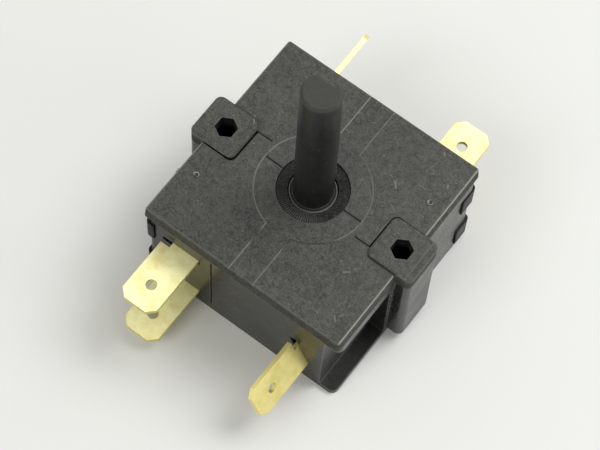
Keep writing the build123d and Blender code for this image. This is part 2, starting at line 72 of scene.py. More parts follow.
# painted shadow along the joint of the halves and along the foot of an ear on the front half, where
# the gap and the step lie in shade
SEAM_SHADOWS = (
    ((12.05, 3.3), (12.05, -2.4)),
    ((12.05, -2.45), (9.4, -2.45)),
    ((8.4, 0.0), (5.7, 0.0)),
    ((12.05, 3.3), (12.6, 3.85)),
    ((12.6, 3.85), (13.3, 3.85)),
    ((12.1, -2.8), (12.8, -3.8)),
    ((12.8, -3.8), (17.2, -3.8)),
)
PALE_WIDTH = 0.16 * MM
DARK_WIDTH = 0.14 * MM
SEAM_WIDTH = 0.34 * MM

# scattered scratches: the size of the cell that may hold one, the share of cells that do
LONG_SCRATCH = {"cell": 4.2 * MM, "length": 2.6 * MM, "width": 0.13 * MM, "share": 0.36}
NICK = {"cell": 1.7 * MM, "length": 0.7 * MM, "width": 0.16 * MM, "share": 0.27}

# name, setting that holds the power, place and width, in metres; all point at the case's foot
LAMPS = (
    ("key_lamp", "key_power", (0.18, 0.24, 0.48), 0.28),
    ("fill_lamp", "fill_power", (-0.12, -0.42, 0.5), 0.3),
    ("rim_lamp", "rim_power", (0.5, 0.2, 0.16), 0.2),
    ("top_lamp", "top_power", (0.12, 0.38, 0.8), 0.5),
)
LAMP_AIM = (0.0, 0.0, 0.01)


# ---------------------------------------------------------------- settings


class SwitchMoulding(bpy.types.PropertyGroup):
    """Black mouldings: the case halves, the corner lugs, the rotor and the spindle"""

    case_colour: bpy.props.StringProperty(
        name="Case colour", description="sRGB hex of the case moulding", default="#10110D"
    )
    case_pale: bpy.props.StringProperty(
        name="Case pale colour",
        description="sRGB hex of the paler grains of the case",
        default="#494A42",
    )
    # this colour paints scratches, fibre ends and wear, and also the painted highlights on edges,
    # rims, insert lines, rotor crests and the spindle core's rim
    rub_and_highlight_colour: bpy.props.StringProperty(
        name="Rub colour",
        description="sRGB hex of scratches, worn edges and fibre ends",
        default="#86867D",
    )
    rotor_colour: bpy.props.StringProperty(
        name="Rotor colour", description="sRGB hex of the rotor moulding", default="#0D0D0C"
    )
    rotor_pale: bpy.props.StringProperty(
        name="Rotor pale colour",
        description="sRGB hex of the paler grains of the rotor",
        default="#3C3C38",
    )
    shaft_colour: bpy.props.StringProperty(
        name="Spindle colour", description="sRGB hex of the spindle moulding", default="#131313"
    )
    lug_colour: bpy.props.StringProperty(
        name="Lug colour",
        description="sRGB hex of the corner lugs, and of the shadows in joints and holes",
        default="#070707",
    )
    grain: bpy.props.FloatProperty(
        name="Mould grain",
        description="Width of a grain of the eroded mould face",
        default=0.26 * MM,
        min=0.05 * MM,
        unit="LENGTH",
    )
    edge: bpy.props.FloatProperty(
        name="Edge softness",
        description="Radius of the softened edges of the mouldings",
        default=0.16 * MM,
        min=0.0,
        unit="LENGTH",
    )
    insert_radius: bpy.props.FloatProperty(
        name="Insert radius",
        description="Radius of the round mould insert whose line shows on the lid",
        default=8.7 * MM,
        unit="LENGTH",
    )
    insert_half: bpy.props.FloatProperty(
        name="Insert half width",
        description="Half the width of the band whose lines show on the lid",
        default=2.15 * MM,
        unit="LENGTH",
    )
    # the walls of the screw holes are painted black: painted shade in the bores
    screw_half_pitch: bpy.props.FloatProperty(
        name="Half screw pitch",
        description="From the spindle axis to a screw hole, whose walls are smooth and black",
        default=15.875 * MM,
        unit="LENGTH",
    )
    # the pale ring round the spindle's core is a painted highlight
    core_highlight_radius: bpy.props.FloatProperty(
        name="Burr radius",
        description="Radius of the pale burr round the spindle's foot",
        default=3.5 * MM,
        unit="LENGTH",
    )


class SwitchMetal(bpy.types.PropertyGroup):
    """Brass terminals and rivets, bronze blades, silver contacts and steel strips"""

    # the flat tabs' colour is paler than brass: partly a painted sheen
    brass: bpy.props.StringProperty(
        name="Brass", description="sRGB hex of the rolled faces of the flat tabs", default="#FFFAC0"
    )
    # the dull brass is also the painted shade on the tilted tabs' faces
    brass_dull: bpy.props.StringProperty(
        name="Dull brass",
        description="sRGB hex of handled brass, of the tilted tabs and of the rivets",
        default="#EBDD92",
    )
    brass_cut: bpy.props.StringProperty(
        name="Cut brass", description="sRGB hex of the sheared edges", default="#D3CB78"
    )
    front_tilt: bpy.props.FloatProperty(
        name="Front tilt",
        description="Lean of the front common tab",
        default=math.radians(25.0),
        subtype="ANGLE",
    )
    rear_tilt: bpy.props.FloatProperty(
        name="Rear tilt",
        description="Lean of the rear common tab",
        default=math.radians(-15.0),
        subtype="ANGLE",
    )
    bronze: bpy.props.StringProperty(
        name="Bronze", description="sRGB hex of the contact blades", default="#D9A877"
    )
    silver: bpy.props.StringProperty(
        name="Silver", description="sRGB hex of the contact buttons", default="#E4E3DE"
    )
    steel: bpy.props.StringProperty(
        name="Steel", description="sRGB hex of the detent strips", default="#C2C3C4"
    )


class SwitchMarks(bpy.types.PropertyGroup):
    """Gate stubs left on the lid where the plastic ran into the mould"""

    torn_colour: bpy.props.StringProperty(
        name="Torn colour",
        description="sRGB hex of the torn rim of a gate stub",
        default="#B4B4A8",
    )
    place: bpy.props.FloatVectorProperty(
        name="Gate place",
        description="Middle of the gate stub on the front half",
        size=2,
        default=(-14.75 * MM, -8.6 * MM),
        unit="LENGTH",
    )
    radius: bpy.props.FloatProperty(
        name="Gate radius",
        description="Radius of the gate stub",
        default=0.42 * MM,
        min=0.05 * MM,
        unit="LENGTH",
    )
    height: bpy.props.FloatProperty(
        name="Gate height",
        description="How far the gate stub stands above the lid",
        default=0.12 * MM,
        min=0.01 * MM,
        unit="LENGTH",
    )


class SwitchStage(bpy.types.PropertyGroup):
    """Floor, lamps and camera"""

    floor_colour: bpy.props.StringProperty(
        name="Floor", description="sRGB hex of the floor", default="#E1E1DD"
    )
    world_strength: bpy.props.FloatProperty(
        name="Room light",
        description="Strength of the even light of the room",
        default=0.44,
        min=0.0,
    )
    key_power: bpy.props.FloatProperty(
        name="Key lamp",
        description="Power of the soft lamp behind the object",
        default=1.45,
        min=0.0,
        unit="POWER",
    )
    fill_power: bpy.props.FloatProperty(
        name="Fill lamp",
        description="Power of the soft lamp at the front",
        default=1.1,
        min=0.0,
        unit="POWER",
    )
    rim_power: bpy.props.FloatProperty(
        name="Rim lamp",
        description="Power of the low lamp at the right",
        default=0.5,
        min=0.0,
        unit="POWER",
    )
    top_power: bpy.props.FloatProperty(
        name="Top lamp",
        description="Power of the wide lamp overhead",
        default=1.48,
        min=0.0,
        unit="POWER",
    )
    azimuth: bpy.props.FloatProperty(
        name="Camera azimuth",
        description="Camera angle round the spindle",
        default=math.radians(32.49),
        subtype="ANGLE",
    )
    elevation: bpy.props.FloatProperty(
        name="Camera elevation",
        description="Camera angle above the floor",
        default=math.radians(66.24),
        subtype="ANGLE",
    )
    roll: bpy.props.FloatProperty(
        name="Camera roll",
        description="Camera turn about its own axis",
        default=math.radians(4.74),
        subtype="ANGLE",
    )
    distance: bpy.props.FloatProperty(
        name="Camera distance",
        description="From the middle of the lid",
        default=344.6 * MM,
        unit="LENGTH",
    )
    slide: bpy.props.FloatVectorProperty(
        name="Camera slide",
        description="Sideways and upward slide of the camera",
        size=2,
        default=(-1.92 * MM, -5.28 * MM),
        unit="LENGTH",
    )
    lens: bpy.props.FloatProperty(
        name="Lens",
        description="Focal length in mm on a 36 mm sensor",
        default=142.74,
        min=1.0,
    )


# ---------------------------------------------------------------- helpers


def colour(hex_text):
    """sRGB hex to linear RGBA."""
    channels = [int(hex_text[i : i + 2], 16) / 255 for i in (1, 3, 5)]
    linear = [c / 12.92 if c <= 0.04045 else ((c + 0.055) / 1.055) ** 2.4 for c in channels]
    return (*linear, 1.0)


def per(size):
    """Pattern scale for a pattern that repeats every size, in metres."""
    return 1.0 / size


def both(name):
    """A piece's nodes on the two halves."""
    return [name + "_front", name + "_rear"]


def add(tree, kind, values=None, links=None, **settings):
    """Adds a node with its settings, its input values and its input links."""
    made = tree.nodes.new(kind)
    for name, value in settings.items():
        setattr(made, name, value)
    for name, value in (values or {}).items():
        made.inputs[name].default_value = value
    for name, source in (links or {}).items():
        tree.links.new(source, made.inputs[name])
    return made


def new_material(name):
    """An empty node material with its shader and its object coordinates."""
    material = bpy.data.materials.new(name)
    material.use_nodes = True
    tree = material.node_tree
    tree.nodes.clear()
    output = add(tree, "ShaderNodeOutputMaterial")
    shader = add(tree, "ShaderNodeBsdfPrincipled")
    tree.links.new(shader.outputs["BSDF"], output.inputs["Surface"])
    coords = add(tree, "ShaderNodeTexCoord")
    return material, tree, shader, coords.outputs["Object"]


def mesh_normal(tree):
    """The mesh's own normal, from the coordinates that every new material has."""
    coords = next(node for node in tree.nodes if node.type == "TEX_COORD")
    return coords.outputs["Normal"]


def mix_colour(tree, factor, first, second):
    """Mixes two colours, each a hex text or a socket, by a socket."""
    mixer = add(tree, "ShaderNodeMix", data_type="RGBA", links={0: factor})
    for slot, given in ((6, first), (7, second)):
        if isinstance(given, str):
            mixer.inputs[slot].default_value = colour(given)
        else:
            tree.links.new(given, mixer.inputs[slot])
    return mixer.outputs[2]


def lay_over(tree, shader, mask, tint):
    """Lays a colour over what the shader has as its base colour."""
    base = shader.inputs["Base Color"]
    plain = base.links[0].from_socket
    tree.links.new(mix_colour(tree, mask, plain, tint), base)


def greater(tree, *sockets):
    """The greatest of several sockets."""
    result = sockets[0]
    for socket in sockets[1:]:
        both_given = {0: result, 1: socket}
        result = add(tree, "ShaderNodeMath", links=both_given, operation="MAXIMUM").outputs[0]
    return result


def by_height(tree, place, level, below, above):
    """One value below a level and another above it."""
    split = add(tree, "ShaderNodeSeparateXYZ", links={0: place})
    blend = 0.1 * MM
    step = add(
        tree,
        "ShaderNodeMapRange",
        {"From Min": level - blend, "From Max": level + blend, "To Min": below, "To Max": above},
        {"Value": split.outputs["Z"]},
    )
    return step.outputs["Result"]


def from_axis(tree, place):
    """Distance from the spindle axis."""
    ground = add(
        tree, "ShaderNodeVectorMath", {1: (1.0, 1.0, 0.0)}, {0: place}, operation="MULTIPLY"
    )
    reach = add(
        tree, "ShaderNodeVectorMath", links={0: ground.outputs["Vector"]}, operation="LENGTH"
    )
    return reach.outputs["Value"]


def dress(names, material):
    """Gives CAD nodes a material and nothing else."""
    for name in names:
        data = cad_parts[name].data
        data.materials.clear()
        data.materials.append(material)


def background_rays(tree):
    """1 where the background is looked at, straight or in a reflection, and 0 where it lights."""
    path = add(tree, "ShaderNodeLightPath")
    return greater(
        tree,
        path.outputs["Is Camera Ray"],
        path.outputs["Is Glossy Ray"],
        path.outputs["Is Transmission Ray"],
    )


# ---------------------------------------------------------------- patterns


def mottle(tree, place, grain):
    """Uneven tone of an eroded mould face: grains, small clusters and slow clouds."""
    cluster_size, cloud_size = 0.8 * MM, 6.0 * MM
    layers = []
    for size, roughness in ((grain, 0.6), (cluster_size, 0.6), (cloud_size, 0.55)):
        noise = add(
            tree,
            "ShaderNodeTexNoise",
            {"Scale": per(size), "Detail": 3.0, "Roughness": roughness},
            {"Vector": place},
        )
        layers.append(noise.outputs["Fac"])
    fine, group, cloud = layers
    small = add(
        tree, "ShaderNodeMath", {1: 1.6}, {0: fine, 2: group}, operation="MULTIPLY_ADD"
    )
    whole = add(
        tree, "ShaderNodeMath", {1: 0.5}, {0: cloud, 2: small.outputs[0]}, operation="MULTIPLY_ADD"
    )
    tone = add(
        tree,
        "ShaderNodeMapRange",
        {"From Min": 1.2, "From Max": 1.9},
        {"Value": whole.outputs[0]},
    )
    return tone.outputs["Result"], fine, cloud


def scratches(tree, place, cell, length, width, share):
    """Short straight scratches seen from above, at most one in a cell, each turned its own way."""
    ground = add(
        tree, "ShaderNodeMapping", {"Scale": (per(cell), per(cell), 0.0)}, {"Vector": place}
    )
    cells = add(
        tree,
        "ShaderNodeTexVoronoi",
        {"Scale": 1.0},
        {"Vector": ground.outputs["Vector"]},
        voronoi_dimensions="2D",
    )
    local = add(
        tree,
        "ShaderNodeVectorMath",
        links={0: ground.outputs["Vector"], 1: cells.outputs["Position"]},
        operation="SUBTRACT",
    )
    pick = add(tree, "ShaderNodeSeparateColor", links={0: cells.outputs["Color"]})
    angle = add(
        tree,
        "ShaderNodeMath",
        {1: 2 * math.pi},
        {0: pick.outputs["Red"]},
        operation="MULTIPLY",
    )
    turned = add(
        tree,
        "ShaderNodeVectorRotate",
        links={"Vector": local.outputs["Vector"], "Angle": angle.outputs[0]},
        rotation_type="Z_AXIS",
    )
    axes = add(tree, "ShaderNodeSeparateXYZ", links={0: turned.outputs["Vector"]})
    # full in the core of the scratch, and faded out towards its sides and its ends
    fades = []
    for axis, half, core in (("Y", width / cell / 2, 0.3), ("X", length / cell / 2, 0.2)):
        off = add(tree, "ShaderNodeMath", links={0: axes.outputs[axis]}, operation="ABSOLUTE")
        fade = add(
            tree,
            "ShaderNodeMapRange",
            {"From Min": core * half, "From Max": half, "To Min": 1.0, "To Max": 0.0},
            {"Value": off.outputs[0]},
        )
        fades.append(fade.outputs["Result"])
    chosen = add(
        tree, "ShaderNodeMath", {1: share}, {0: pick.outputs["Green"]}, operation="LESS_THAN"
    )
    shown = add(tree, "ShaderNodeMath", links={0: fades[0], 1: fades[1]}, operation="MULTIPLY")
    for factor in (chosen.outputs[0], pick.outputs["Blue"]):
        shown = add(
            tree, "ShaderNodeMath", links={0: shown.outputs[0], 1: factor}, operation="MULTIPLY"
        )
    return shown.outputs[0]


def strokes(tree, place, marks, width):
    """Straight marks seen from above, each from one place to another in millimetres."""
    ground = add(
        tree, "ShaderNodeVectorMath", {1: (1.0, 1.0, 0.0)}, {0: place}, operation="MULTIPLY"
    )
    masks = []
    for start, end in marks:
        first = Vector((*start, 0.0)) * MM
        run = Vector((*end, 0.0)) * MM - first
        local = add(
            tree,
            "ShaderNodeVectorMath",
            {1: first},
            {0: ground.outputs["Vector"]},
            operation="SUBTRACT",
        )
        reach = add(
            tree,
            "ShaderNodeVectorMath",
            {1: run},
            {0: local.outputs["Vector"]},
            operation="DOT_PRODUCT",
        )
        share = add(
            tree,
            "ShaderNodeMath",
            {1: 1 / run.length_squared},
            {0: reach.outputs["Value"]},
            operation="MULTIPLY",
            use_clamp=True,
        )
        nearest = add(
            tree,
            "ShaderNodeVectorMath",
            {0: run},
            {"Scale": share.outputs[0]},
            operation="SCALE",
        )
        gap = add(
            tree,
            "ShaderNodeVectorMath",
            links={0: local.outputs["Vector"], 1: nearest.outputs["Vector"]},
            operation="SUBTRACT",
        )
        away = add(
            tree, "ShaderNodeVectorMath", links={0: gap.outputs["Vector"]}, operation="LENGTH"
        )
        mask = add(
            tree,
            "ShaderNodeMapRange",
            {"From Min": 0.3 * width, "From Max": width, "To Min": 1.0, "To Max": 0.0},
            {"Value": away.outputs["Value"]},
        )
        masks.append(mask.outputs["Result"])
    return greater(tree, *masks)


def inside_bores(tree, place, centre_x, radius):
    """1 on the walls of the two screw holes, which stand at plus and minus centre_x."""
    axes = add(tree, "ShaderNodeSeparateXYZ", links={0: place})
    side = add(tree, "ShaderNodeMath", links={0: axes.outputs["X"]}, operation="ABSOLUTE")
    across = add(
        tree, "ShaderNodeMath", {1: centre_x}, {0: side.outputs[0]}, operation="SUBTRACT"
    )
    flat = add(
        tree, "ShaderNodeCombineXYZ", links={0: across.outputs[0], 1: axes.outputs["Y"]}
    )
    away = add(
        tree, "ShaderNodeVectorMath", links={0: flat.outputs["Vector"]}, operation="LENGTH"
    )
    near = add(
        tree, "ShaderNodeMath", {1: radius}, {0: away.outputs["Value"]}, operation="LESS_THAN"
    )
    below = by_height(tree, place, LID_TOP + 0.1 * MM, 1.0, 0.0)
    inside = add(tree, "ShaderNodeMath", links={0: near.outputs[0], 1: below}, operation="MULTIPLY")
    return inside.outputs[0]


def specks(tree, place, cell, radius, strength):
    """Round pale points: fibre ends and dust."""
    dots = add(tree, "ShaderNodeTexVoronoi", {"Scale": per(cell)}, {"Vector": place})
    pick = add(tree, "ShaderNodeSeparateColor", links={0: dots.outputs["Color"]})
    reach = radius / cell
    dot = add(
        tree,
        "ShaderNodeMapRange",
        {"From Min": 0.5 * reach, "From Max": reach, "To Min": strength, "To Max": 0.0},
        {"Value": dots.outputs["Distance"]},
    )
    shown = add(
        tree,
        "ShaderNodeMath",
        links={0: dot.outputs["Result"], 1: pick.outputs["Red"]},
        operation="MULTIPLY",
    )
    return shown.outputs[0]


def edge_mask(tree, radius):
    """How far the surface turns within a radius: 0 on a flat, up to 1 on an edge."""
    wide = add(tree, "ShaderNodeBevel", {"Radius": radius}, samples=6)
    here = add(tree, "ShaderNodeNewGeometry")
    same = add(
        tree,
        "ShaderNodeVectorMath",
        links={0: wide.outputs["Normal"], 1: here.outputs["Normal"]},
        operation="DOT_PRODUCT",
    )
    turn = add(
        tree,
        "ShaderNodeMapRange",
        {"From Min": 0.995, "From Max": 0.85},
        {"Value": same.outputs["Value"]},
    )
    return turn.outputs["Result"]


def rim_highlight(tree, place, level):
    """1 on the rounded rims above a level, where the surface turns from the top to the side: there
    a pale line is painted, a painted highlight with some wear.
    """
    upward = add(tree, "ShaderNodeSeparateXYZ", links={0: mesh_normal(tree)})
    half_turned = 0.72  # the normal's Z in the middle of the rounding
    off = add(
        tree, "ShaderNodeMath", {1: half_turned}, {0: upward.outputs["Z"]}, operation="SUBTRACT"
    )
    apart = add(tree, "ShaderNodeMath", links={0: off.outputs[0]}, operation="ABSOLUTE")
    round_part = add(
        tree,
        "ShaderNodeMapRange",
        {"From Min": 0.2, "From Max": 0.28, "To Min": 1.0, "To Max": 0.0},
        {"Value": apart.outputs[0]},
    )
    above = by_height(tree, place, level, 0.0, 1.0)
    rim = add(
        tree,
        "ShaderNodeMath",
        links={0: round_part.outputs["Result"], 1: above},
        operation="MULTIPLY",
    )
    # the painted highlight is strongest on the rims that face plus or minus X, beside the ears
    sideways = add(tree, "ShaderNodeMath", links={0: upward.outputs["X"]}, operation="ABSOLUTE")
    handled = add(
        tree,
        "ShaderNodeMapRange",
        {"From Min": 0.2, "From Max": 0.5, "To Min": 0.25, "To Max": 1.0},
        {"Value": sideways.outputs[0]},
    )
    painted_highlight = add(
        tree,
        "ShaderNodeMath",
        links={0: rim.outputs[0], 1: handled.outputs["Result"]},
        operation="MULTIPLY",
    )
    return painted_highlight.outputs[0]


def insert_line_light_and_shade(tree, place, radius, half):
    """Witness lines that the mould's inserts leave on the lid: the two sides of a band and the
    sides
    of a disc. Their colour is painted light: a painted highlight along the lines, and painted shade
    where the disc's line faces the front, away from the lamps."""
    axes = add(tree, "ShaderNodeSeparateXYZ", links={0: place})
    across = add(tree, "ShaderNodeMath", links={0: axes.outputs["X"]}, operation="ABSOLUTE")
    off_band = add(
        tree, "ShaderNodeMath", {1: half}, {0: across.outputs[0]}, operation="SUBTRACT"
    )
    off_disc = add(
        tree, "ShaderNodeMath", {1: radius}, {0: from_axis(tree, place)}, operation="SUBTRACT"
    )
    nearest = add(
        tree,
        "ShaderNodeMath",
        links={0: off_band.outputs[0], 1: off_disc.outputs[0]},
        operation="MINIMUM",
    )
    off = add(tree, "ShaderNodeMath", links={0: nearest.outputs[0]}, operation="ABSOLUTE")
    line = add(
        tree,
        "ShaderNodeMapRange",
        {"From Min": 0.06 * MM, "From Max": 0.13 * MM, "To Min": 1.0, "To Max": 0.0},
        {"Value": off.outputs[0]},
    )
    # the disc's line is in shade where it faces the front: painted shade there, painted highlight
    # elsewhere
    to_front = (0.45, -0.89, 0.0)
    facing = add(
        tree, "ShaderNodeVectorMath", {1: to_front}, {0: place}, operation="DOT_PRODUCT"
    )
    gap = add(
        tree, "ShaderNodeMath", {1: radius}, {0: facing.outputs["Value"]}, operation="SUBTRACT"
    )
    apart = add(tree, "ShaderNodeMath", links={0: gap.outputs[0]}, operation="ABSOLUTE")
    lit = add(
        tree,
        "ShaderNodeMapRange",
        {"From Min": 0.3 * MM, "From Max": 1.6 * MM},
        {"Value": apart.outputs[0]},
    )
    pale = add(
        tree,
        "ShaderNodeMath",
        links={0: line.outputs["Result"], 1: lit.outputs["Result"]},
        operation="MULTIPLY",
    )
    dark = add(
        tree,
        "ShaderNodeMath",
        links={0: line.outputs["Result"], 1: pale.outputs[0]},
        operation="SUBTRACT",
    )
    return pale.outputs[0], dark.outputs[0]


# ---------------------------------------------------------------- materials


def moulded(
    name, base, pale, rub_and_highlight, grain, edge, level, smooth, rough, edge_highlight_and_wear, gloss, band_rough=0.0
):
    """Filled plastic moulded in black. Above a level the mould is eroded, so the face is dull and
    mottled with pale grains and takes scratches. Below it the face is smoother, and its colour is
    painted darker: painted shade under the lid. Fibre ends stand out as pale specks, and the edges
    and rims are painted pale: a painted highlight with some wear. band_rough is added to the
    roughness of the sides between the level and the lid."""
    material, tree, shader, place = new_material(name)
    tone, fine, cloud = mottle(tree, place, grain)
    on_top = by_height(tree, place, level, 0.0, 1.0)
    # painted shade: below the level the pale grains are damped, so the walls come out darker
    shade_below_level = by_height(tree, place, level, 0.3, 1.0)
    shown = add(tree, "ShaderNodeMath", links={0: tone, 1: shade_below_level}, operation="MULTIPLY")
    body = mix_colour(tree, shown.outputs[0], base, pale)

    cuts = greater(
        tree, scratches(tree, place, **LONG_SCRATCH), scratches(tree, place, **NICK)
    )
    hurt = add(tree, "ShaderNodeMath", links={0: cuts, 1: on_top}, operation="MULTIPLY")
    dust = specks(tree, place, 0.9 * MM, 0.13 * MM, 0.7)
    marks = add(
        tree,
        "ShaderNodeMath",
        {1: 0.52},
        {0: greater(tree, hurt.outputs[0], dust)},
        operation="MULTIPLY",
    )
    # painted highlight, with some wear: edges and rims are painted towards the pale colour; worn
    # carries this mask
    sharp = add(
        tree, "ShaderNodeMath", {1: 0.35}, {0: edge_mask(tree, 1.6 * edge)}, operation="MULTIPLY"
    )
    rim = greater(tree, sharp.outputs[0], rim_highlight(tree, place, level + 1.2 * MM))
    worn = add(tree, "ShaderNodeMath", {1: edge_highlight_and_wear}, {0: rim}, operation="MULTIPLY")
    light = greater(tree, marks.outputs[0], worn.outputs[0])
    tree.links.new(mix_colour(tree, light, body, rub_and_highlight), shader.inputs["Base Color"])

    under_lid = by_height(tree, place, LID_TOP - 0.4 * MM, 1.0, 0.0)
    band = add(tree, "ShaderNodeMath", links={0: on_top, 1: under_lid}, operation="MULTIPLY")
    finish = add(
        tree,
        "ShaderNodeMath",
        {1: band_rough},
        {0: band.outputs[0], 2: by_height(tree, place, level, smooth, rough)},
        operation="MULTIPLY_ADD",
    )
    # slow clouds of sheen, 0.15 to either side
    vary = add(tree, "ShaderNodeMath", {1: 0.3, 2: -0.15}, {0: cloud}, operation="MULTIPLY_ADD")
    total = add(
        tree, "ShaderNodeMath", links={0: finish.outputs[0], 1: vary.outputs[0]}, operation="ADD"
    )
    tree.links.new(total.outputs[0], shader.inputs["Roughness"])
    shader.inputs["IOR"].default_value = 1.5
    shader.inputs["Specular IOR Level"].default_value = gloss

    soft = add(tree, "ShaderNodeBevel", {"Radius": edge}, samples=6)
    bump = add(
        tree,
        "ShaderNodeBump",
        {"Distance": 0.05 * MM},
        {
            "Height": fine,
            "Strength": by_height(tree, place, level, 0.15, 0.55),
            "Normal": soft.outputs["Normal"],
        },
    )
    tree.links.new(bump.outputs["Normal"], shader.inputs["Normal"])
    return material, tree, shader, place


def rolled_metal(name, face, dull, cut, roughness, normal, edge, along, metallic=1.0):
    """Rolled strip cut in a press: a satin face with hair lines along the strip, a handled tone
    in patches, and rougher sheared edges in their own colour. normal looks along the strip's
    thickness, and along is least in the direction of the hair lines."""
    material, tree, shader, place = new_material(name)
    shader.inputs["Metallic"].default_value = metallic
    patch = add(
        tree,
        "ShaderNodeTexNoise",
        {"Scale": per(2.4 * MM), "Detail": 4.0, "Roughness": 0.6},
        {"Vector": place},
    )
    handled = add(
        tree,
        "ShaderNodeMapRange",
        {"From Min": 0.45, "From Max": 0.75},
        {"Value": patch.outputs["Fac"]},
    )
    tone = mix_colour(tree, handled.outputs["Result"], face, dull)
    facing = add(
        tree,
        "ShaderNodeVectorMath",
        {1: normal},
        {0: mesh_normal(tree)},
        operation="DOT_PRODUCT",
    )
    flat = add(tree, "ShaderNodeMath", links={0: facing.outputs["Value"]}, operation="ABSOLUTE")
    on_face = add(
        tree,
        "ShaderNodeMapRange",
        {"From Min": 0.6, "From Max": 0.9},
        {"Value": flat.outputs[0]},
    )
    surface = mix_colour(tree, on_face.outputs["Result"], cut, tone)
    tree.links.new(surface, shader.inputs["Base Color"])

    rough = add(
        tree,
        "ShaderNodeMapRange",
        {"To Min": roughness + 0.08, "To Max": roughness},
        {"Value": on_face.outputs["Result"]},
    )
    vary = add(
        tree,
        "ShaderNodeMath",
        {1: 0.12, 2: -0.06},
        {0: patch.outputs["Fac"]},
        operation="MULTIPLY_ADD",
    )
    total = add(
        tree,
        "ShaderNodeMath",
        links={0: rough.outputs["Result"], 1: vary.outputs[0]},
        operation="ADD",
    )
    tree.links.new(total.outputs[0], shader.inputs["Roughness"])

    stretch = add(tree, "ShaderNodeMapping", {"Scale": along}, {"Vector": place})
    # real hair lines are finer than the render can show, so these are 0.25 mm apart
    lines = add(
        tree,
        "ShaderNodeTexNoise",
        {"Scale": per(0.25 * MM), "Detail": 3.0},
        {"Vector": stretch.outputs["Vector"]},
    )
    soft = add(tree, "ShaderNodeBevel", {"Radius": edge}, samples=6)
    bump = add(
        tree,
        "ShaderNodeBump",
        {"Strength": 0.15, "Distance": 0.01 * MM},
        {"Height": lines.outputs["Fac"], "Normal": soft.outputs["Normal"]},
    )
    tree.links.new(bump.outputs["Normal"], shader.inputs["Normal"])
    return material


# ---------------------------------------------------------------- operators


class SWITCH_OT_finish_case(bpy.types.Operator):
    """Finish the two case halves in glass-filled nylon, and the smooth lugs in their corners"""

    bl_idname = "switch.finish_case"
    bl_label = "Finish Case"

    def execute(self, context):
        s = context.scene.switch_moulding
        # glass-filled nylon, moulded: a grey, mottled lid that shows every scratch and scuff, on
        # black walls that are painted darker still as shade
        material, tree, shader, place = moulded(
            "glass_filled_nylon_moulded",
            s.case_colour,
            s.case_pale,
            s.rub_and_highlight_colour,
            s.grain,
            s.edge,
            RIM_FOOT,
            smooth=0.3,
            rough=0.5,
            edge_highlight_and_wear=0.85,
            gloss=0.4,
            band_rough=0.35,
        )
        pale, dark = insert_line_light_and_shade(tree, place, s.insert_radius, s.insert_half)
        turned = tuple(((-a, -b), (-c, -d)) for (a, b), (c, d) in SEAM_SHADOWS)
        pale = greater(tree, pale, strokes(tree, place, PALE_MARKS, PALE_WIDTH))
        dark = greater(
            tree,
            dark,
            strokes(tree, place, DARK_MARKS, DARK_WIDTH),
            strokes(tree, place, SEAM_SHADOWS + turned, SEAM_WIDTH),
        )
        # pale is the painted highlight on the insert lines, with the pale rubs; dark is the painted
        # shade on the insert lines, the painted shadow in the seams, and the dark dents
        for line, strength, tint in ((pale, 0.45, s.rub_and_highlight_colour), (dark, 0.8, s.lug_colour)):
            on_lid = by_height(tree, place, LID_TOP - 0.3 * MM, 0.0, strength)
            shown = add(tree, "ShaderNodeMath", links={0: line, 1: on_lid}, operation="MULTIPLY")
            lay_over(tree, shader, shown.outputs[0], tint)
        # painted shade: the walls of the screw holes are painted near black
        bore_shade = inside_bores(tree, place, s.screw_half_pitch, 1.9 * MM)
        lay_over(tree, shader, bore_shade, s.lug_colour)
        dress(both("housing"), material)

        # plain nylon from a smooth mould, hardly marked: a deeper black than the case, partly
        # painted shade, as the lugs sit in shade in the corner windows
        lug_material = moulded(
            "smooth_black_nylon",
            s.lug_colour,
            s.shaft_colour,
            s.rotor_colour,
            s.grain,
            s.edge,
            LID_TOP,
            smooth=0.45,
            rough=0.45,
            edge_highlight_and_wear=0.1,
            gloss=0.2,
        )[0]
        dress(both("corner_lugs"), lug_material)
        return {"FINISHED"}


class SWITCH_OT_finish_rotor(bpy.types.Operator):
    """Finish the rotor, with the fine radial lines that a turned mould insert leaves on its neck"""

    bl_idname = "switch.finish_rotor"
    bl_label = "Finish Rotor"

    def execute(self, context):
        s = context.scene.switch_moulding
        # acetal, moulded: smooth and black, with fine radial ridges
        material, tree, shader, place = moulded(
            "acetal_moulded",
            s.rotor_colour,
            s.rotor_pale,
            s.rub_and_highlight_colour,
            s.grain,
            s.edge,
            RIM_FOOT,
            smooth=0.4,
            rough=0.45,
            edge_highlight_and_wear=0.5,
            gloss=0.15,
        )
        ridge_count = 96.0
        axes = add(tree, "ShaderNodeSeparateXYZ", links={0: place})
        angle = add(
            tree,
            "ShaderNodeMath",
            links={0: axes.outputs["Y"], 1: axes.outputs["X"]},
            operation="ARCTAN2",
        )
        turns = add(
            tree, "ShaderNodeMath", {1: ridge_count}, {0: angle.outputs[0]}, operation="MULTIPLY"
        )
        ridge = add(tree, "ShaderNodeMath", links={0: turns.outputs[0]}, operation="SINE")
        # painted highlight: the crests are painted pale over a quarter of the ring, at the front,
        # where they catch the grazing light
        painted_highlight = add(
            tree,
            "ShaderNodeMapRange",
            {"From Min": 0.0, "From Max": 0.9},
            {"Value": ridge.outputs[0]},
        )
        front = add(
            tree,
            "ShaderNodeMapRange",
            {"From Min": -4.6 * MM, "From Max": -2.6 * MM, "To Min": 0.3, "To Max": 0.0},
            {"Value": axes.outputs["Y"]},
        )
        crest_highlight = add(
            tree,
            "ShaderNodeMath",
            links={0: painted_highlight.outputs["Result"], 1: front.outputs["Result"]},
            operation="MULTIPLY",
        )
        lay_over(tree, shader, crest_highlight.outputs[0], s.rub_and_highlight_colour)
        grained = shader.inputs["Normal"].links[0].from_socket
        ridged = add(
            tree,
            "ShaderNodeBump",
            {"Strength": 0.9, "Distance": 0.1 * MM},
            {"Height": ridge.outputs[0], "Normal": grained},
        )
        tree.links.new(ridged.outputs["Normal"], shader.inputs["Normal"])
        dress(["rotor"], material)
        return {"FINISHED"}


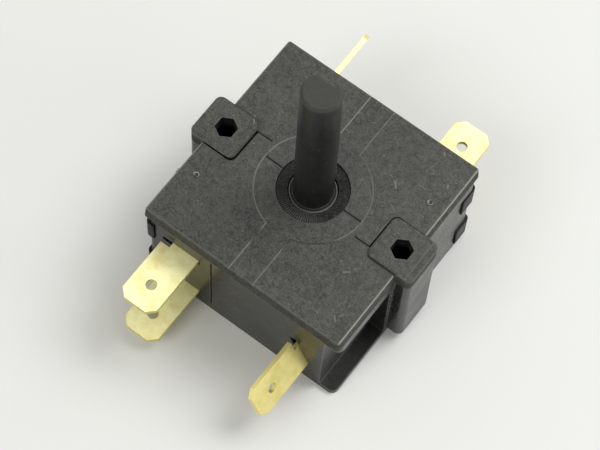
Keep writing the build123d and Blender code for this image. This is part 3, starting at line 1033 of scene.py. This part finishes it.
class SWITCH_OT_finish_shaft(bpy.types.Operator):
    """Finish the spindle in smooth glass-filled polyester"""

    bl_idname = "switch.finish_shaft"
    bl_label = "Finish Spindle"

    def execute(self, context):
        s = context.scene.switch_moulding
        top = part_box("shaft")[1].z - 0.5 * MM
        # glass-filled polyester, moulded: a smooth black side with a soft sheen
        material, tree, shader, place = moulded(
            "glass_filled_polyester_moulded",
            s.shaft_colour,
            s.rotor_pale,
            s.rub_and_highlight_colour,
            s.grain,
            1.3 * s.edge,
            top,
            smooth=0.36,
            rough=0.5,
            edge_highlight_and_wear=0.6,
            gloss=0.22,
        )
        # the knob end, the top 0.5 mm of the spindle, is painted paler
        lay_over(tree, shader, by_height(tree, place, top, 0.0, 0.75), s.rotor_pale)
        # the core that fills the rotor's bore is dull, with a pale ring round its rim: a painted
        # highlight on the rim's rounding
        foot = by_height(tree, place, LID_TOP - 0.1 * MM, 1.0, 0.0)
        dull = add(tree, "ShaderNodeMath", {1: 0.9}, {0: foot}, operation="MULTIPLY")
        usual = shader.inputs["Roughness"].links[0].from_socket
        tree.links.new(greater(tree, usual, dull.outputs[0]), shader.inputs["Roughness"])
        off = add(
            tree,
            "ShaderNodeMath",
            {1: s.core_highlight_radius},
            {0: from_axis(tree, place)},
            operation="SUBTRACT",
        )
        apart = add(tree, "ShaderNodeMath", links={0: off.outputs[0]}, operation="ABSOLUTE")
        core_highlight = add(
            tree,
            "ShaderNodeMapRange",
            {"From Min": 0.05 * MM, "From Max": 0.12 * MM, "To Min": 0.7, "To Max": 0.0},
            {"Value": apart.outputs[0]},
        )
        shown = add(
            tree, "ShaderNodeMath", links={0: core_highlight.outputs["Result"], 1: foot}, operation="MULTIPLY"
        )
        lay_over(tree, shader, shown.outputs[0], s.rub_and_highlight_colour)
        dress(["shaft"], material)
        return {"FINISHED"}


class SWITCH_OT_finish_metal(bpy.types.Operator):
    """Finish the terminals, rivets, blades, contacts and detent strips"""

    bl_idname = "switch.finish_metal"
    bl_label = "Finish Metal"

    def execute(self, context):
        s = context.scene.switch_metal
        along_x, along_y, even = (0.05, 1.0, 1.0), (1.0, 0.05, 1.0), (1.0, 1.0, 1.0)
        level, upright = (0.0, 0.0, 1.0), (0.0, 1.0, 0.0)
        tab_edge, thin_edge, head_edge = 0.12 * MM, 0.05 * MM, 0.1 * MM

        # brass, rolled and blanked: a pale satin face that scatters the studio's light, which the
        # part-metallic shader stands for; its colour is paler than brass, partly a painted sheen of
        # the lamps
        flat = rolled_metal(
            "rolled_brass_flat_tab",
            s.brass,
            s.brass_dull,
            s.brass_cut,
            0.58,
            level,
            tab_edge,
            along_y,
            metallic=0.4,
        )
        dress(["upper_terminal_front", "lower_terminal_front", "flat_terminal_rear"], flat)
        # painted shade: the tilted tabs get the dull brass, a darker copy of the same brass, as
        # they look away from the lamps and read as gold
        for node, tilt in (
            ("common_terminal_front", s.front_tilt),
            ("common_terminal_rear", s.rear_tilt),
        ):
            tilted = rolled_metal(
                "rolled_brass_" + node,
                s.brass_dull,
                s.brass_cut,
                s.brass_dull,
                0.44,
                (math.cos(tilt), 0.0, math.sin(tilt)),
                tab_edge,
                along_y,
                metallic=0.7,
            )
            dress([node], tilted)

        # phosphor bronze spring strip, rolled bright: a warm, glossy face
        blade = rolled_metal(
            "rolled_phosphor_bronze",
            s.bronze,
            s.bronze,
            s.bronze,
            0.22,
            upright,
            thin_edge,
            along_x,
        )
        dress(both("upper_blade") + ["lower_blade_front"], blade)
        # brass rivets, headed in a die: plain and even
        rivet = rolled_metal(
            "headed_brass_rivet",
            s.brass_dull,
            s.brass_dull,
            s.brass_cut,
            0.3,
            upright,
            head_edge,
            even,
        )
        dress(both("upper_blade_rivet") + ["lower_blade_rivet_front"], rivet)
        # silver contact buttons, coined: pale and satin
        button = rolled_metal(
            "silver_contact_button",
            s.silver,
            s.silver,
            s.silver,
            0.3,
            upright,
            head_edge,
            even,
        )
        dress(both("upper_moving_contact") + both("upper_fixed_contact"), button)
        dress(["lower_moving_contact_front", "lower_fixed_contact_front"], button)
        # spring steel, rolled and hardened: a cool grey with fine lines along the strip
        strip = rolled_metal(
            "spring_steel_strip",
            s.steel,
            s.steel,
            s.steel,
            0.26,
            level,
            thin_edge,
            along_y,
        )
        dress(both("detent_strip"), strip)
        return {"FINISHED"}


def model_gate_stub(place, radius, height):
    """A low stub of torn plastic, with a rim round a pit."""
    bpy.ops.object.select_all(action="DESELECT")
    sunk = 0.05 * MM
    bpy.ops.mesh.primitive_cylinder_add(
        vertices=20,
        radius=radius,
        depth=height + sunk,
        location=(place[0], place[1], LID_TOP + (height - sunk) / 2),
    )
    stub = bpy.context.active_object
    bpy.ops.object.transform_apply(location=True, rotation=True, scale=True)
    bpy.ops.object.mode_set(mode="EDIT")
    bpy.ops.mesh.select_mode(type="FACE")
    shape = bmesh.from_edit_mesh(stub.data)
    for face in shape.faces:
        face.select = face.normal.z > 0.9
    shape.select_flush_mode()
    bmesh.update_edit_mesh(stub.data)
    for inset, sink in ((0.25, 0.7), (0.12, 0.2)):
        bpy.ops.mesh.inset(thickness=radius * inset)
        bpy.ops.transform.translate(value=(0.0, 0.0, -height * sink))
    bpy.ops.object.mode_set(mode="OBJECT")
    rounded = stub.modifiers.new("rounded", "BEVEL")
    rounded.width = 0.03 * MM
    rounded.segments = 2
    bpy.ops.object.modifier_apply(modifier="rounded")
    bpy.ops.object.shade_smooth_by_angle(angle=math.radians(50))
    return stub


def torn_plastic(m, s):
    """The case's nylon where it was torn from the gate: a pit painted dark as painted shade, and a
    rim that is pale on its inner side, towards the spindle."""
    material, tree, shader, place = moulded(
        "torn_nylon",
        m.case_colour,
        m.case_pale,
        m.rub_and_highlight_colour,
        m.grain,
        0.4 * m.edge,
        RIM_FOOT,
        smooth=0.3,
        rough=0.35,
        edge_highlight_and_wear=0.6,
        gloss=0.5,
    )
    split = add(tree, "ShaderNodeSeparateXYZ", links={0: place})
    rim = add(
        tree,
        "ShaderNodeMapRange",
        {
            "From Min": LID_TOP + 0.25 * s.height,
            "From Max": LID_TOP + 0.75 * s.height,
            "To Max": 0.9,
        },
        {"Value": split.outputs["Z"]},
    )
    off = add(tree, "ShaderNodeMath", links={0: split.outputs["Y"]}, operation="ABSOLUTE")
    middle = abs(s.place[1])
    inner = add(
        tree,
        "ShaderNodeMapRange",
        {"From Min": middle, "From Max": middle + 0.35 * MM, "To Min": 1.0, "To Max": 0.0},
        {"Value": off.outputs[0]},
    )
    pale = add(
        tree,
        "ShaderNodeMath",
        links={0: rim.outputs["Result"], 1: inner.outputs["Result"]},
        operation="MULTIPLY",
    )
    # painted shade: low in the pit the colour goes to the shadow colour
    base = shader.inputs["Base Color"]
    shaded_pit = mix_colour(tree, rim.outputs["Result"], m.lug_colour, base.links[0].from_socket)
    tree.links.new(mix_colour(tree, pale.outputs[0], shaded_pit, s.torn_colour), base)
    return material


class SWITCH_OT_add_gate_stubs(bpy.types.Operator):
    """Add the torn gate stub that each half moulding has on its lid"""

    bl_idname = "switch.add_gate_stubs"
    bl_label = "Add Gate Stubs"

    def execute(self, context):
        s = context.scene.switch_marks
        stub = model_gate_stub(s.place, s.radius, s.height)
        stub.name = "gate_stub_front"
        stub.data.materials.append(torn_plastic(context.scene.switch_moulding, s))
        twin = stub.copy()
        twin.data = stub.data.copy()
        twin.name = "gate_stub_rear"
        twin.data.transform(TURN_HALF)
        context.scene.collection.objects.link(twin)
        for piece in (stub, twin):
            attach(piece, "case")
        return {"FINISHED"}


def lay_floor(s):
    """A matt paper floor that keeps the shadow."""
    bpy.ops.object.select_all(action="DESELECT")
    bpy.ops.mesh.primitive_plane_add(size=6.0, location=(0.0, 0.0, -0.05 * MM))
    floor = bpy.context.active_object
    floor.name = "floor"
    paper, tree, shader, place = new_material("matt_paper_floor")
    shader.inputs["Base Color"].default_value = colour(s.floor_colour)
    shader.inputs["Roughness"].default_value = 0.9
    shader.inputs["Specular IOR Level"].default_value = 0.1
    floor.data.materials.append(paper)


def light_room(scene, s):
    """Even light from all sides, and a white background where it is looked at."""
    world = bpy.data.worlds.new("studio_room")
    scene.world = world
    world.use_nodes = True
    tree = world.node_tree
    tree.nodes.clear()
    white = (1.0, 1.0, 1.0, 1.0)
    room = add(tree, "ShaderNodeBackground", {"Color": white, "Strength": s.world_strength})
    seen = add(tree, "ShaderNodeBackground", {"Color": white, "Strength": 1.0})
    mixed = add(
        tree,
        "ShaderNodeMixShader",
        links={0: background_rays(tree), 1: room.outputs[0], 2: seen.outputs[0]},
    )
    output = add(tree, "ShaderNodeOutputWorld")
    tree.links.new(mixed.outputs[0], output.inputs["Surface"])


def hang_lamps(scene, s):
    """Soft square lamps round the object."""
    for name, power, place, size in LAMPS:
        light = bpy.data.lights.new(name, "AREA")
        light.size = size
        light.energy = getattr(s, power)
        lamp = bpy.data.objects.new(name, light)
        scene.collection.objects.link(lamp)
        lamp.location = place
        lamp.rotation_mode = "QUATERNION"
        lamp.rotation_quaternion = (Vector(LAMP_AIM) - Vector(place)).to_track_quat("-Z", "Y")


def place_camera(scene, s):
    """A camera that looks at the middle of the lid from the photo's angle."""
    a, e, r = s.azimuth, s.elevation, s.roll
    ahead = Vector((-math.sin(a) * math.cos(e), math.cos(a) * math.cos(e), -math.sin(e)))
    right = Vector((math.cos(a), math.sin(a), 0.0))
    up = right.cross(ahead)
    right, up = (
        right * math.cos(r) + up * math.sin(r),
        up * math.cos(r) - right * math.sin(r),
    )
    aim = Vector((0.0, 0.0, LID_TOP))
    eye = aim - ahead * s.distance + right * s.slide[0] + up * s.slide[1]
    data = bpy.data.cameras.new("camera")
    data.lens = s.lens
    data.sensor_width = 36.0
    data.clip_start = 0.01
    camera = bpy.data.objects.new("camera", data)
    scene.collection.objects.link(camera)
    turn = Matrix((right, up, -ahead)).transposed().to_4x4()
    camera.matrix_world = Matrix.Translation(eye) @ turn
    scene.camera = camera


class SWITCH_OT_set_stage(bpy.types.Operator):
    """Set the pale floor, the soft lamps, the room light and the camera"""

    bl_idname = "switch.set_stage"
    bl_label = "Set Stage"

    def execute(self, context):
        scene = context.scene
        s = scene.switch_stage
        lay_floor(s)
        light_room(scene, s)
        hang_lamps(scene, s)
        place_camera(scene, s)
        scene.view_settings.view_transform = "Standard"
        return {"FINISHED"}


# ---------------------------------------------------------------- panel


STEPS = (
    SWITCH_OT_finish_case,
    SWITCH_OT_finish_rotor,
    SWITCH_OT_finish_shaft,
    SWITCH_OT_finish_metal,
    SWITCH_OT_add_gate_stubs,
    SWITCH_OT_set_stage,
)
GROUPS = {
    "switch_moulding": SwitchMoulding,
    "switch_metal": SwitchMetal,
    "switch_marks": SwitchMarks,
    "switch_stage": SwitchStage,
}


class SWITCH_PT_looks(bpy.types.Panel):
    """Settings and steps of the switch's looks"""

    bl_idname = "SWITCH_PT_looks"
    bl_label = "Changeover Switch"
    bl_space_type = "VIEW_3D"
    bl_region_type = "UI"
    bl_category = "Switch"

    def draw(self, context):
        for name, group in GROUPS.items():
            box = self.layout.box()
            box.label(text=group.__doc__)
            for setting in group.__annotations__:
                box.prop(getattr(context.scene, name), setting)
        for step in STEPS:
            self.layout.operator(step.bl_idname)


def register():
    for name, group in GROUPS.items():
        bpy.utils.register_class(group)
        setattr(bpy.types.Scene, name, bpy.props.PointerProperty(type=group))
    for step in STEPS:
        bpy.utils.register_class(step)
    bpy.utils.register_class(SWITCH_PT_looks)


def unregister():
    bpy.utils.unregister_class(SWITCH_PT_looks)
    for step in reversed(STEPS):
        bpy.utils.unregister_class(step)
    for name, group in GROUPS.items():
        delattr(bpy.types.Scene, name)
        bpy.utils.unregister_class(group)


def main():
    register()
    bpy.ops.switch.finish_case()
    bpy.ops.switch.finish_rotor()
    bpy.ops.switch.finish_shaft()
    bpy.ops.switch.finish_metal()
    bpy.ops.switch.add_gate_stubs()
    bpy.ops.switch.set_stage()


if __name__ == "__main__":
    main()
